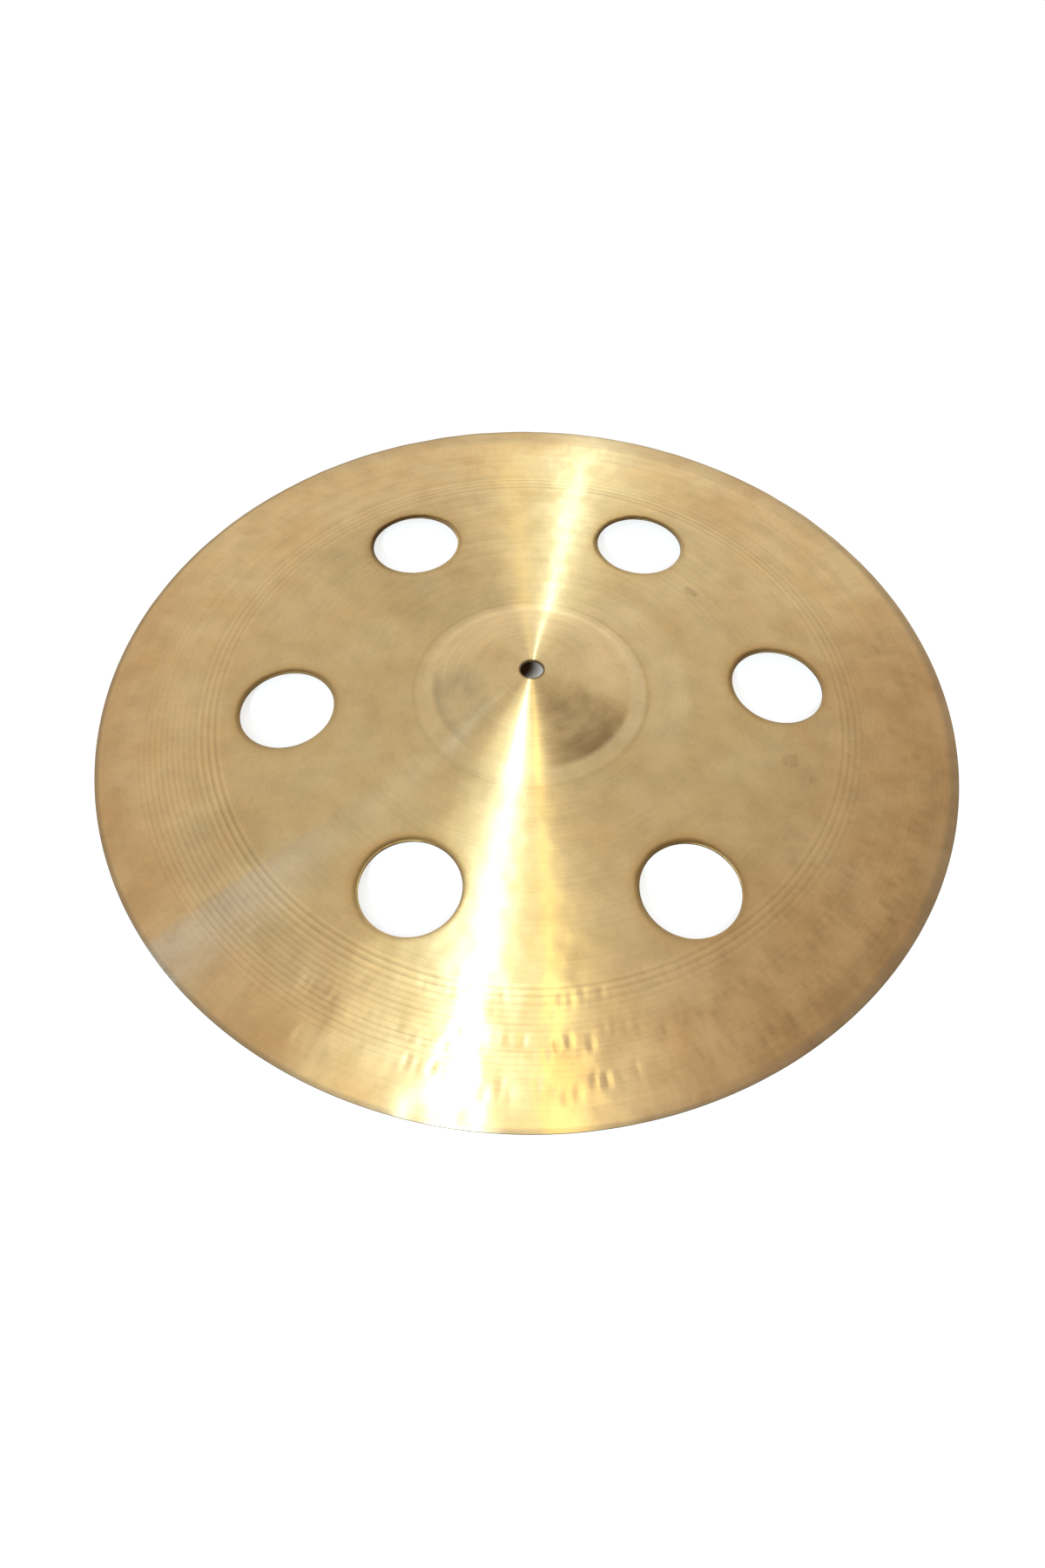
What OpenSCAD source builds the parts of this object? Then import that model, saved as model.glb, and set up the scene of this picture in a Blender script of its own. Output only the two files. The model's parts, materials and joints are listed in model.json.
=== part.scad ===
// Crash cymbal: one bronze disc, dished, belled and tapered, with a centre hole and six vents.
// Origin on the hole's axis, in the plane that the edge rests on. +Z points up through the bell.
// All sizes are in millimetres and degrees.

/* [Disc] */
// Diameter over the edge
disc_d = 457.2; // [420:0.1:510]
// Height that the bow's curve rises from the edge to the axis
bow_rise = 16; // [10:0.5:24]
// Thickness at the edge
edge_t = 0.9; // [0.7:0.05:1.3]
// Radius that the edge is rounded to
edge_round = 0.8; // [0.7:0.05:2]

/* [Bell] */
// Diameter of the circle where the bell's dome meets the bow
bell_d = 116; // [90:1:140]
// Height of the dome above that circle
bell_rise = 16.6; // [10:0.2:28]
// Thickness of the bell and of the bow at its foot
bell_t = 1.3; // [1:0.05:2]
// Radius of the cove round the foot of the bell
cove_r = 17; // [6:1:24]
// Diameter of the centre hole
hole_d = 12; // [10:0.1:16]

/* [Vents] */
// Diameter of each vent
vent_d = 49.4; // [30:0.1:56]
// Angle of vent 1 from +X
vent_1_angle = 5.6; // [0:0.1:12]
// Distance of vent 1 from the axis
vent_1_reach = 133.3; // [120:0.1:150]
// Angle of vent 2 from +X
vent_2_angle = 62.8; // [56:0.1:68]
// Distance of vent 2 from the axis
vent_2_reach = 130.4; // [120:0.1:150]
// Angle of vent 3 from +X
vent_3_angle = 123.6; // [116:0.1:130]
// Distance of vent 3 from the axis
vent_3_reach = 130.7; // [120:0.1:150]
// Angle of vent 4 from +X
vent_4_angle = 187.5; // [180:0.1:194]
// Distance of vent 4 from the axis
vent_4_reach = 128.6; // [120:0.1:150]
// Angle of vent 5 from +X
vent_5_angle = 246.3; // [240:0.1:252]
// Distance of vent 5 from the axis
vent_5_reach = 130; // [120:0.1:150]
// Angle of vent 6 from +X
vent_6_angle = 305.5; // [300:0.1:312]
// Distance of vent 6 from the axis
vent_6_reach = 139; // [120:0.1:150]

/* [Hidden] */
$fn = 256;

// How far a drill runs past the faces that it cuts
drill_past = 4;
// How far the cove's arc bites into the two arcs that it joins
cove_bite = 0.02;

disc_r = disc_d / 2;
foot_r = bell_d / 2;

// Upper side of the bow: an arc centred on the axis, which ends at the top of the edge
bow_r = (disc_r^2 + bow_rise^2) / (2 * bow_rise);
bow_z = edge_t + bow_rise - bow_r;

// Upper side of the dome: an arc centred on the axis, which stands on the bow at the foot circle
foot_z = bow_z + sqrt(bow_r^2 - foot_r^2);
dome_r = (foot_r^2 + bell_rise^2) / (2 * bell_rise);
bell_top = foot_z + bell_rise;
dome_z = bell_top - dome_r;

// Lower side of the bow: an arc centred on the axis, bell_t under the foot circle and at 0 under the edge
under_foot = foot_z - bell_t;
under_z = -(disc_r^2 - foot_r^2 - under_foot^2) / (2 * under_foot);
under_r = norm([disc_r, under_z]);

// Centre of the cove's arc, which lies against the bow and the dome from outside
to_bow = bow_r + cove_r;
to_dome = dome_r + cove_r;
centres_apart = dome_z - bow_z;
cove_up = (to_bow^2 - to_dome^2 + centres_apart^2) / (2 * centres_apart);
cove_centre = [sqrt(to_bow^2 - cove_up^2), bow_z + cove_up];

vents = [
    [vent_1_angle, vent_1_reach],
    [vent_2_angle, vent_2_reach],
    [vent_3_angle, vent_3_reach],
    [vent_4_angle, vent_4_reach],
    [vent_5_angle, vent_5_reach],
    [vent_6_angle, vent_6_reach],
];

function toward(from, to, d) = from + d * (to - from) / norm(to - from);

// Everything below one side of the disc, in section: the bow, the dome and the cove between them
module below_side(arc_z, arc_r, cap_r, fillet_r) {
    bow_side = toward(cove_centre, [0, bow_z], 2 * fillet_r);
    dome_side = toward(cove_centre, [0, dome_z], 2 * fillet_r);
    translate([0, arc_z])
        circle(r = arc_r);
    translate([0, dome_z])
        circle(r = cap_r);
    difference() {
        polygon([cove_centre, dome_side, bow_side]);
        translate(cove_centre)
            circle(r = fillet_r + cove_bite);
    }
}

// Half of the disc's cross-section, from the axis out to the rounded edge
module section() {
    body_r = disc_r - edge_round;
    intersection() {
        difference() {
            below_side(bow_z, bow_r, dome_r, cove_r);
            below_side(under_z, under_r, dome_r - bell_t, cove_r + bell_t);
        }
        union() {
            translate([0, -edge_round])
                square([body_r, bell_top + 2 * edge_round]);
            translate([body_r, edge_t / 2])
                circle(r = edge_round);
        }
    }
}

module drill(d) {
    cylinder(h = 2 * (bell_t + drill_past), d = d, center = true);
}

// A vent is drilled square to the bow
module vent(angle, reach) {
    rotate([0, 0, angle])
        translate([reach, 0, bow_z + sqrt(bow_r^2 - reach^2)])
            rotate([0, asin(reach / bow_r), 0])
                drill(vent_d);
}

module cymbal() {
    color([0.74, 0.58, 0.35])
        difference() {
            rotate_extrude()
                section();
            translate([0, 0, bell_top])
                drill(hole_d);
            for (v = vents)
                vent(v[0], v[1]);
        }
}

cymbal();
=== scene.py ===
import json
import math
from types import SimpleNamespace

import bpy
from mathutils import Matrix, Vector
from mathutils.geometry import delaunay_2d_cdt


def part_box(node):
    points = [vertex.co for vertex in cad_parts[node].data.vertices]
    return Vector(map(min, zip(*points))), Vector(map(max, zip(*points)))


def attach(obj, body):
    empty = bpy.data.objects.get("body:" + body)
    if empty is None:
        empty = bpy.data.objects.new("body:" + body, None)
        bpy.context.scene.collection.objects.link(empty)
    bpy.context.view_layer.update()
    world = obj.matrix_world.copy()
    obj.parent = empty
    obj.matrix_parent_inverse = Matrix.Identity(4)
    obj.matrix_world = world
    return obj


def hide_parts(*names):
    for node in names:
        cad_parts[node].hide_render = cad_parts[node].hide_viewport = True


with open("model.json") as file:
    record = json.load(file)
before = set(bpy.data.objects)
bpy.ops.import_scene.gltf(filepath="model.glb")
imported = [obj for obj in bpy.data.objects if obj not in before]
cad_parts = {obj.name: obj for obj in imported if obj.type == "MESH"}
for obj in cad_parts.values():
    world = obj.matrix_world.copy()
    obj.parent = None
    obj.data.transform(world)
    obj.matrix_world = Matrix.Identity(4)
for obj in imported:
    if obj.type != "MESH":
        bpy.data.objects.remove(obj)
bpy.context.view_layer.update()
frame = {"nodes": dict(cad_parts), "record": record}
scene = bpy.context.scene
scene.view_settings.view_transform = "Standard"
mm = 0.001  # sizes below are in millimetres, the scene is in metres
fullTurn = 2 * math.pi
print("frame loaded, nodes:", sorted(frame["nodes"]))


# small helpers for building node trees: a value is a number, a colour or another node's output
def feed(tree, socket, value):
    if isinstance(value, (int, float, tuple)):
        socket.default_value = value
    else:
        tree.links.new(value, socket)


def maths(tree, operation, *values):
    node = tree.nodes.new("ShaderNodeMath")
    node.operation = operation
    for socket, value in zip(node.inputs, values):
        feed(tree, socket, value)
    return node.outputs[0]


def vector(tree, x, y, z):
    node = tree.nodes.new("ShaderNodeCombineXYZ")
    for socket, value in zip(node.inputs, (x, y, z)):
        feed(tree, socket, value)
    return node.outputs[0]


def length(tree, x, y):
    return maths(tree, "SQRT", maths(tree, "MULTIPLY_ADD", x, x, maths(tree, "MULTIPLY", y, y)))


def remap(tree, value, fromLow, fromHigh, toLow=0.0, toHigh=1.0):
    node = tree.nodes.new("ShaderNodeMapRange")
    node.interpolation_type = "SMOOTHSTEP"
    limits = {"Value": value, "From Min": fromLow, "From Max": fromHigh, "To Min": toLow, "To Max": toHigh}
    for name, limit in limits.items():
        feed(tree, node.inputs[name], limit)
    return node.outputs["Result"]


def band(tree, value, low, high, soft):
    # 1 between low and high, fading over soft on each side
    rise = remap(tree, value, low - soft, low + soft)
    fall = remap(tree, value, high - soft, high + soft, 1.0, 0.0)
    return maths(tree, "MULTIPLY", rise, fall)


def blend(tree, factor, first, second):
    node = tree.nodes.new("ShaderNodeMix")
    node.data_type = "RGBA"
    for index, value in zip((0, 6, 7), (factor, first, second)):
        feed(tree, node.inputs[index], value)
    return node.outputs[2]


def dimmed(tree, colour, level):
    node = tree.nodes.new("ShaderNodeVectorMath")
    node.operation = "SCALE"
    tree.links.new(colour, node.inputs[0])
    tree.links.new(level, node.inputs["Scale"])
    return node.outputs[0]


def tint(red, green, blue):
    # a colour as a picture editor shows it, turned into the linear one that nodes take
    levels = [v / 255 for v in (red, green, blue)]
    return tuple(v / 12.92 if v <= 0.04045 else ((v + 0.055) / 1.055) ** 2.4 for v in levels) + (1.0,)


def sumsOn(tree):
    # the sums that a longer tree is written with
    def calc(operation, *values):
        return maths(tree, operation, *values)

    def total(first, *others):
        for other in others:
            first = calc("ADD", first, other)
        return first

    def product(first, *others):
        for other in others:
            first = calc("MULTIPLY", first, other)
        return first

    def part(value, share, rest):
        # a share of a value, added to the rest
        return calc("MULTIPLY_ADD", value, share, rest)

    return SimpleNamespace(tree=tree, calc=calc, total=total, product=product, part=part)


# the photo's viewpoint, found from the rim, the vents, the bell and the centre hole
photoCamera = {
    "targetX": 6.46, "targetY": -49.53,
    "distance": 553.82, "elevation": 56.31, "roll": 2.44,
    "focalPixels": 1231.7, "imageHeight": 1800, "centreShift": 19.25,
    "sensor": 36, "nearest": 10,
}


def addCamera(view):
    data = bpy.data.cameras.new("photoCamera")
    data.sensor_width = view["sensor"]
    data.lens = data.sensor_width * view["focalPixels"] / view["imageHeight"]
    data.shift_x = -view["centreShift"] / view["imageHeight"]
    data.clip_start = view["nearest"] * mm
    camera = bpy.data.objects.new("photoCamera", data)
    scene.collection.objects.link(camera)
    tilt = math.radians(view["elevation"])
    target = Vector((view["targetX"], view["targetY"], 0)) * mm
    back = Vector((0, -math.cos(tilt), math.sin(tilt)))
    right = Vector((1, 0, 0))
    up = back.cross(right)
    turn = Matrix.Rotation(math.radians(view["roll"]), 3, back)
    axes = Matrix((turn @ right, turn @ up, back)).transposed()
    camera.matrix_world = Matrix.Translation(target + back * view["distance"] * mm) @ axes.to_4x4()
    scene.camera = camera


addCamera(photoCamera)
print("camera placed")


# the disc: plan sizes come from the frame, the section's sizes are those of the part
cadLow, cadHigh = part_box("cymbal")
centreHole = frame["record"]["mounts"][0]
ventBoxes = [o["box_m"] for o in frame["record"]["physics"]["openings"] if o["name"].startswith("vent_")]
disc = {
    "radius": (cadHigh.x - cadLow.x) / 2 / mm,
    "holeRadius": centreHole["dims"]["r_mm"],
    "vents": [((lo[0] + hi[0]) / 2 / mm, (lo[1] + hi[1]) / 2 / mm) for lo, hi in ventBoxes],
    # the last angle on the next line is the side that the vents' heat tint and the painted shade at their
    # edges lean to
    "ventRadius": 24.7, "ventRound": 1.6, "ventDrop": 0.3, "tintAndShadeSide": 125,
    "bowRise": 16.0, "edgeThickness": 0.9, "edgeRound": 0.16,
    "bellRadius": 58.0, "bellRise": 16.6, "bellThickness": 1.3, "coveBlend": 3.6,
    "unevenness": 0.3, "unevenSize": 48.0, "floorGap": 0.02, "seed": 4,
    # two sides are polished finer: direction, half spread, radii where it fades, what is left at the edge
    "polished": ((84, (14, 50), (186, 216), 0.25), (-83, (3, 9), (186, 216), 0.3)),
}
blankMesh = {
    # points round the rim, the centre hole and each vent, with rows beside the vents for their rounded edges
    "rimPoints": 720, "holePoints": 72, "ventPoints": 120, "ventRows": (0.4, 0.9, 1.6, 2.8), "ventClear": 3.8,
    # from ring to ring and along a ring, on each side; on the inner part the points lie further apart
    "upperStep": 1.75, "upperAcross": 1.6, "lowerStep": 3.0, "lowerAcross": 3.2,
    "innerReach": 160.0, "innerAcross": 1.5, "fewest": 48,
    "perLatheRing": 4, "margin": 1.0, "tolerance": 1e-6,
}
lathe = {
    "coarsePitch": 3.5, "coarseLine": 176.5, "coarseFrom": 163.5, "coarseDepth": 0.05, "lip": 1.5,
    "finePitch": 2.95, "fineLine": 179.2, "fineFrom": 178.0, "fineTo": 206.0, "fineDepth": 0.03,
    # how softly the cut rings start and end, and how far each kind stops short
    "ringSoft": 1.5, "coarseShort": 0.5, "fineShort": 2.0,
}
hammer = {
    # rows of long marks near the edge: size, how far each strays, how light the lightest blow is
    "rows": 3, "perRow": 220, "firstRow": 172.0, "rowStep": 19.0, "markWidth": 5.0, "markLength": 12.0,
    "markDepth": 0.34, "strayRound": 0.3, "strayAlong": 4.5, "lightest": 0.25,
    "ragged": 1.0, "raggedSize": 5.0, "raggedShift": 9.0,
    # the rows deepen outwards, and on one side of the disc, whose spread is given in cosines
    "deepenOver": 38.0, "innerDepth": 0.45, "hardSide": -58, "hardDepth": (0.65, 0.97, 0.36, 1.1),
    # a spiral of round dents over the bow
    "dents": 620, "dentsFrom": 60.0, "dentSpacing": 11.0, "dentWidth": 11.0,
    "dentDepth": 0.12, "dentStray": 2.0,
    # ripples that the blows leave in the sheet, strongest towards the near and the far edge
    "rippleSize": 17.0, "rippleDepth": 0.2, "rippleShift": 60.0,
    "rippleAlong": (120.0, 185.0, 0.35, 1.0), "rippleAside": (50.0, 150.0, 1.0, 3.6),
}


def sheetRings(step, fine):
    # radii of the rings of points, close together where the lathe cut its deep rings
    rings = []
    margin = blankMesh["margin"]
    r = disc["holeRadius"] + step / 2
    while r < disc["radius"] - margin:
        rings.append(r)
        if fine and lathe["coarseFrom"] - margin < r < lathe["fineFrom"]:
            r += lathe["coarsePitch"] / blankMesh["perLatheRing"]
        elif fine and lathe["fineFrom"] <= r < lathe["fineTo"] + margin:
            r += lathe["finePitch"] / blankMesh["perLatheRing"]
        else:
            r += step
    return rings


def circlePoints(centre, radius, count, turn=0.0):
    angles = [fullTurn * (k + turn) / count for k in range(count)]
    return [(centre[0] + radius * math.cos(a), centre[1] + radius * math.sin(a)) for a in angles]


def nearestVent(x, y):
    return min(disc["vents"], key=lambda c: math.hypot(x - c[0], y - c[1]))


def ventGap(x, y):
    # distance from a point to the nearest vent's edge
    cx, cy = nearestVent(x, y)
    return math.hypot(x - cx, y - cy) - disc["ventRadius"]


def ventLean(x, y):
    # 1 on the side of the nearest vent that the heat tint and the painted shade at its edge lean to, -1
    # opposite
    cx, cy = nearestVent(x, y)
    return math.cos(math.atan2(y - cy, x - cx) - math.radians(disc["tintAndShadeSide"]))


def fade(value, full, gone):
    # 1 up to full, 0 beyond gone
    part = min(max((value - full) / (gone - full), 0.0), 1.0)
    return 1 - part * part * (3 - 2 * part)


def polishAt(x, y):
    # how much of the finer polish a point has
    most = 0.0
    for side, spread, reach, atEdge in disc["polished"]:
        away = (math.degrees(math.atan2(y, x)) - side + 180) % 360 - 180
        inward = max(fade(math.hypot(x, y), *reach), atEdge)
        most = max(most, fade(abs(away), *spread) * inward)
    return most


def flatSheet(step, across, fine):
    # one side of the disc, flat: triangles between the edge, the centre hole and the vents
    points, loops, edges = [], [], []
    outlines = [((0, 0), disc["radius"] - disc["edgeRound"], blankMesh["rimPoints"]),
                ((0, 0), disc["holeRadius"], blankMesh["holePoints"])]
    outlines += [(c, disc["ventRadius"], blankMesh["ventPoints"]) for c in disc["vents"]]
    for centre, radius, count in outlines:
        start = len(points)
        points += circlePoints(centre, radius, count)
        loops.append(list(range(start, start + count)))
        edges += [(start + k, start + (k + 1) % count) for k in range(count)]
    for centre in disc["vents"]:
        for out in blankMesh["ventRows"]:
            points += circlePoints(centre, disc["ventRadius"] + out, blankMesh["ventPoints"], 0.5)
    for i, r in enumerate(sheetRings(step, fine)):
        spread = across * (blankMesh["innerAcross"] if r < blankMesh["innerReach"] else 1.0)
        count = max(blankMesh["fewest"], round(fullTurn * r / spread))
        ring = circlePoints((0, 0), r, count, 0.5 * (i % 2))
        points += [p for p in ring if ventGap(*p) > blankMesh["ventClear"]]
    plan = delaunay_2d_cdt([Vector(p) for p in points], edges, [], 0, blankMesh["tolerance"])
    places, triangles, sources = plan[0], plan[2], plan[3]
    place = {source: new for new, group in enumerate(sources) for source in group}
    kept = []
    for tri in triangles:
        x = sum(places[i].x for i in tri) / 3
        y = sum(places[i].y for i in tri) / 3
        if math.hypot(x, y) > disc["holeRadius"] and ventGap(x, y) > 0:
            kept.append(list(tri))
    return [tuple(p) for p in places], kept, [[place[i] for i in loop] for loop in loops]


def flatDisc():
    # a closed blank: upper sheet, lower sheet and the walls between their outlines
    upper, upperFaces, upperLoops = flatSheet(blankMesh["upperStep"], blankMesh["upperAcross"], True)
    lower, lowerFaces, lowerLoops = flatSheet(blankMesh["lowerStep"], blankMesh["lowerAcross"], False)
    base = len(upper)
    lowerLoops = [[base + i for i in loop] for loop in lowerLoops]
    plan = upper + lower
    side = [1.0] * base + [0.0] * len(lower)
    faces = upperFaces + [[base + i for i in reversed(f)] for f in lowerFaces]
    wallFrom = len(faces)
    for k, rows in enumerate(zip(upperLoops, lowerLoops)):
        rows = list(rows)
        count = len(rows[0])
        if k == 0:  # the rim has a middle row, at the full radius, so that it is rounded
            rows.insert(1, list(range(len(plan), len(plan) + count)))
            plan += circlePoints((0, 0), disc["radius"], count)
            side += [0.5] * count
        for a, b in zip(rows, rows[1:]):
            quads = [[a[i], b[i], b[(i + 1) % count], a[(i + 1) % count]] for i in range(count)]
            faces += quads if k == 0 else [q[::-1] for q in quads]
    mesh = bpy.data.meshes.new("cymbalBlank")
    mesh.from_pydata([(x * mm, y * mm, 0) for x, y in plan], [], faces)
    mesh.polygons.foreach_set("use_smooth", [True] * len(faces))
    facts = {
        ("side", "POINT"): side,
        ("ventGap", "POINT"): [ventGap(x, y) for x, y in plan],
        ("ventLean", "POINT"): [ventLean(x, y) for x, y in plan],
        ("polish", "POINT"): [polishAt(x, y) for x, y in plan],
        ("cutWall", "FACE"): [0.0] * wallFrom + [1.0] * (len(faces) - wallFrom),
    }
    for (name, domain), values in facts.items():
        mesh.attributes.new(name, "FLOAT", domain).data.foreach_set("value", values)
    creased = upperLoops[1:2] + lowerLoops[1:]
    sharp = {frozenset((loop[i], loop[i - 1])) for loop in creased for i in range(len(loop))}
    crease = [frozenset(e.vertices) in sharp for e in mesh.edges]
    mesh.attributes.new("sharp_edge", "BOOLEAN", "EDGE").data.foreach_set("value", crease)
    mesh.update()
    return mesh


blank = flatDisc()
print("flat blank:", len(blank.vertices), "points,", len(blank.polygons), "faces")


# the inputs of the tree that dishes the blank
dishSizes = {
    "Disc Radius": disc["radius"], "Bow Rise": disc["bowRise"], "Edge Thickness": disc["edgeThickness"],
    "Bell Radius": disc["bellRadius"], "Bell Rise": disc["bellRise"],
    "Bell Thickness": disc["bellThickness"], "Cove Blend": disc["coveBlend"],
    "Vent Round": disc["ventRound"], "Vent Drop": disc["ventDrop"],
    "Coarse Depth": lathe["coarseDepth"], "Fine Depth": lathe["fineDepth"],
    "Mark Depth": hammer["markDepth"], "Dent Depth": hammer["dentDepth"],
    "Ripple Depth": hammer["rippleDepth"], "Unevenness": disc["unevenness"],
}
dishCounts = {
    "Rows": hammer["rows"], "Marks Per Row": hammer["perRow"], "Dents": hammer["dents"], "Seed": disc["seed"],
}
dishMetals = ("Upper Metal", "Under Metal", "Cut Metal")


def dishTools(tree):
    # a point's place on the blank, in millimetres, and what its height is worked out with
    at = sumsOn(tree)
    given = tree.nodes.new("NodeGroupInput").outputs
    position = tree.nodes.new("GeometryNodeInputPosition").outputs[0]
    place = tree.nodes.new("ShaderNodeSeparateXYZ")
    tree.links.new(position, place.inputs[0])
    x = at.calc("DIVIDE", place.outputs[0], mm)
    y = at.calc("DIVIDE", place.outputs[1], mm)
    r = at.calc("MAXIMUM", length(tree, x, y), 1.0)

    def named(name):
        node = tree.nodes.new("GeometryNodeInputNamedAttribute")
        node.data_type = "FLOAT"
        node.inputs["Name"].default_value = name
        return node.outputs["Attribute"]

    def randomValue(low, high, identity, shift):
        node = tree.nodes.new("FunctionNodeRandomValue")
        node.data_type = "FLOAT"
        node.inputs[2].default_value = low
        node.inputs[3].default_value = high
        tree.links.new(identity, node.inputs["ID"])
        tree.links.new(at.total(given["Seed"], shift), node.inputs["Seed"])
        return node.outputs[1]

    def waves(size, depth, shift):
        node = tree.nodes.new("ShaderNodeTexNoise")
        node.inputs["Scale"].default_value = 1 / size
        node.inputs["Detail"].default_value = 1.0
        tree.links.new(vector(tree, x, y, at.total(given["Seed"], shift)), node.inputs["Vector"])
        return at.product(at.calc("SUBTRACT", node.outputs[0], 0.5), depth)

    at.given, at.position, at.x, at.y, at.r = given, position, x, y, r
    at.acrossX, at.acrossY = at.calc("DIVIDE", x, r), at.calc("DIVIDE", y, r)
    at.index = tree.nodes.new("GeometryNodeInputIndex").outputs[0]
    at.named, at.randomValue, at.waves = named, randomValue, waves
    return at


def sheetSides(at):
    # heights of the upper side, where the cove blends the bow's arc and the dome's arc, and of the lower side
    given, calc = at.given, at.calc

    def arcRadius(half, rise):
        # radius of the arc that rises by rise over half a chord
        squares = at.part(half, half, at.product(rise, rise))
        return calc("DIVIDE", squares, at.product(rise, 2.0))

    def arcHeight(radius, reach):
        inside = calc("SUBTRACT", at.product(radius, radius), at.product(reach, reach))
        return calc("SQRT", calc("MAXIMUM", inside, 0.0))

    bowArc = arcRadius(given["Disc Radius"], given["Bow Rise"])
    bowCentre = calc("SUBTRACT", at.total(given["Edge Thickness"], given["Bow Rise"]), bowArc)
    bowHeight = at.total(bowCentre, arcHeight(bowArc, at.r))
    footHeight = at.total(bowCentre, arcHeight(bowArc, given["Bell Radius"]))
    domeArc = arcRadius(given["Bell Radius"], given["Bell Rise"])
    domeCentre = calc("SUBTRACT", at.total(footHeight, given["Bell Rise"]), domeArc)
    domeHeight = at.total(domeCentre, arcHeight(domeArc, at.r))
    upper = calc("SMOOTH_MAX", bowHeight, domeHeight, given["Cove Blend"])

    # the sheet is thinner towards the edge
    taper = calc("SUBTRACT", given["Bell Thickness"], given["Edge Thickness"])
    outwards = calc("POWER", calc("DIVIDE", at.r, given["Disc Radius"]), 2.0)
    thickness = calc("SUBTRACT", given["Bell Thickness"], at.product(taper, outwards))
    lower = calc("SUBTRACT", upper, thickness)

    # the upper edge of each vent is rounded over
    inset = calc("MINIMUM", calc("DIVIDE", at.named("ventGap"), given["Vent Round"]), 1.0)
    over = calc("MAXIMUM", calc("SUBTRACT", 1.0, inset), 0.0)
    drop = at.product(calc("POWER", over, 2.0), given["Vent Drop"])
    return calc("SUBTRACT", upper, drop), lower


def latheRings(at):
    def rings(pitch, line, low, high, depth):
        wave = at.calc("COSINE", at.product(at.calc("SUBTRACT", at.r, line), fullTurn / pitch))
        return at.product(wave, band(at.tree, at.r, low, high, lathe["ringSoft"]), depth, -0.5)

    coarse = rings(lathe["coarsePitch"], lathe["coarseLine"], lathe["coarseFrom"],
                   lathe["fineFrom"] - lathe["coarseShort"], at.given["Coarse Depth"])
    fine = rings(lathe["finePitch"], lathe["fineLine"], lathe["fineFrom"],
                 lathe["fineTo"] - lathe["fineShort"], at.given["Fine Depth"])
    return at.total(coarse, fine)


def struck(at, count, blowPlace, here, shift):
    # how deep the nearest blow of the hammer is at a point: 1 in its middle, 0 outside its ragged mark
    tree = at.tree
    blows = tree.nodes.new("GeometryNodePoints")
    tree.links.new(count, blows.inputs["Count"])
    tree.links.new(blowPlace, blows.inputs["Position"])
    nearest = tree.nodes.new("GeometryNodeSampleNearest")
    tree.links.new(blows.outputs[0], nearest.inputs["Geometry"])
    tree.links.new(here, nearest.inputs["Sample Position"])
    found = tree.nodes.new("GeometryNodeSampleIndex")
    found.data_type = "FLOAT_VECTOR"
    tree.links.new(blows.outputs[0], found.inputs["Geometry"])
    tree.links.new(at.position, found.inputs["Value"])
    tree.links.new(nearest.outputs["Index"], found.inputs["Index"])
    apart = tree.nodes.new("ShaderNodeVectorMath")
    apart.operation = "DISTANCE"
    tree.links.new(here, apart.inputs[0])
    tree.links.new(found.outputs["Value"], apart.inputs[1])
    ragged = at.waves(hammer["raggedSize"], hammer["ragged"], shift * hammer["raggedShift"])
    hollow = remap(tree, at.total(apart.outputs["Value"], ragged), 0.0, 1.0, 1.0, 0.0)
    force = at.randomValue(hammer["lightest"], 1.0, nearest.outputs["Index"], shift)
    return at.product(hollow, force)


def rowMarks(at):
    # rows of long marks: measured round the disc in half widths, along the radius in half lengths
    middleRow = hammer["firstRow"] + hammer["rowStep"] * (hammer["rows"] - 1) / 2
    widths = middleRow / (hammer["markWidth"] / 2)
    halfLength = hammer["markLength"] / 2
    perRow = at.given["Marks Per Row"]
    row = at.calc("FLOOR", at.calc("DIVIDE", at.index, perRow))
    strayRound = at.randomValue(-hammer["strayRound"], hammer["strayRound"], at.index, 1)
    strayAlong = at.randomValue(-hammer["strayAlong"], hammer["strayAlong"], at.index, 2)
    step = at.total(at.index, at.part(row, 0.5, strayRound))
    turn = at.product(at.calc("DIVIDE", step, perRow), fullTurn)
    reach = at.total(at.part(row, hammer["rowStep"], strayAlong), hammer["firstRow"])
    markPlace = vector(at.tree, at.product(at.calc("COSINE", turn), widths),
                       at.product(at.calc("SINE", turn), widths), at.calc("DIVIDE", reach, halfLength))
    here = vector(at.tree, at.product(at.acrossX, widths), at.product(at.acrossY, widths),
                  at.calc("DIVIDE", at.r, halfLength))
    marks = struck(at, at.product(at.given["Rows"], perRow), markPlace, here, 3)
    deepest = hammer["firstRow"] + hammer["deepenOver"]
    outwards = remap(at.tree, at.r, hammer["firstRow"], deepest, hammer["innerDepth"], 1.0)
    hardSide = math.radians(hammer["hardSide"])
    towards = at.part(at.acrossX, math.cos(hardSide), at.product(at.acrossY, math.sin(hardSide)))
    return at.product(marks, outwards, remap(at.tree, towards, *hammer["hardDepth"]))


def spiralDents(at):
    # a spiral of dents over the bow, an even distance apart
    goldenTurn = math.pi * (3 - math.sqrt(5))
    patch = hammer["dentSpacing"] ** 2 / math.pi
    half = hammer["dentWidth"] / 2
    stray = at.randomValue(-hammer["dentStray"], hammer["dentStray"], at.index, 4)
    reach = at.total(at.calc("SQRT", at.part(at.index, patch, hammer["dentsFrom"] ** 2)), stray)
    reach = at.calc("DIVIDE", reach, half)
    turn = at.product(at.index, goldenTurn)
    dentPlace = vector(at.tree, at.product(at.calc("COSINE", turn), reach),
                       at.product(at.calc("SINE", turn), reach), 0.0)
    here = vector(at.tree, at.calc("DIVIDE", at.x, half), at.calc("DIVIDE", at.y, half), 0.0)
    return struck(at, at.given["Dents"], dentPlace, here, 5)


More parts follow.
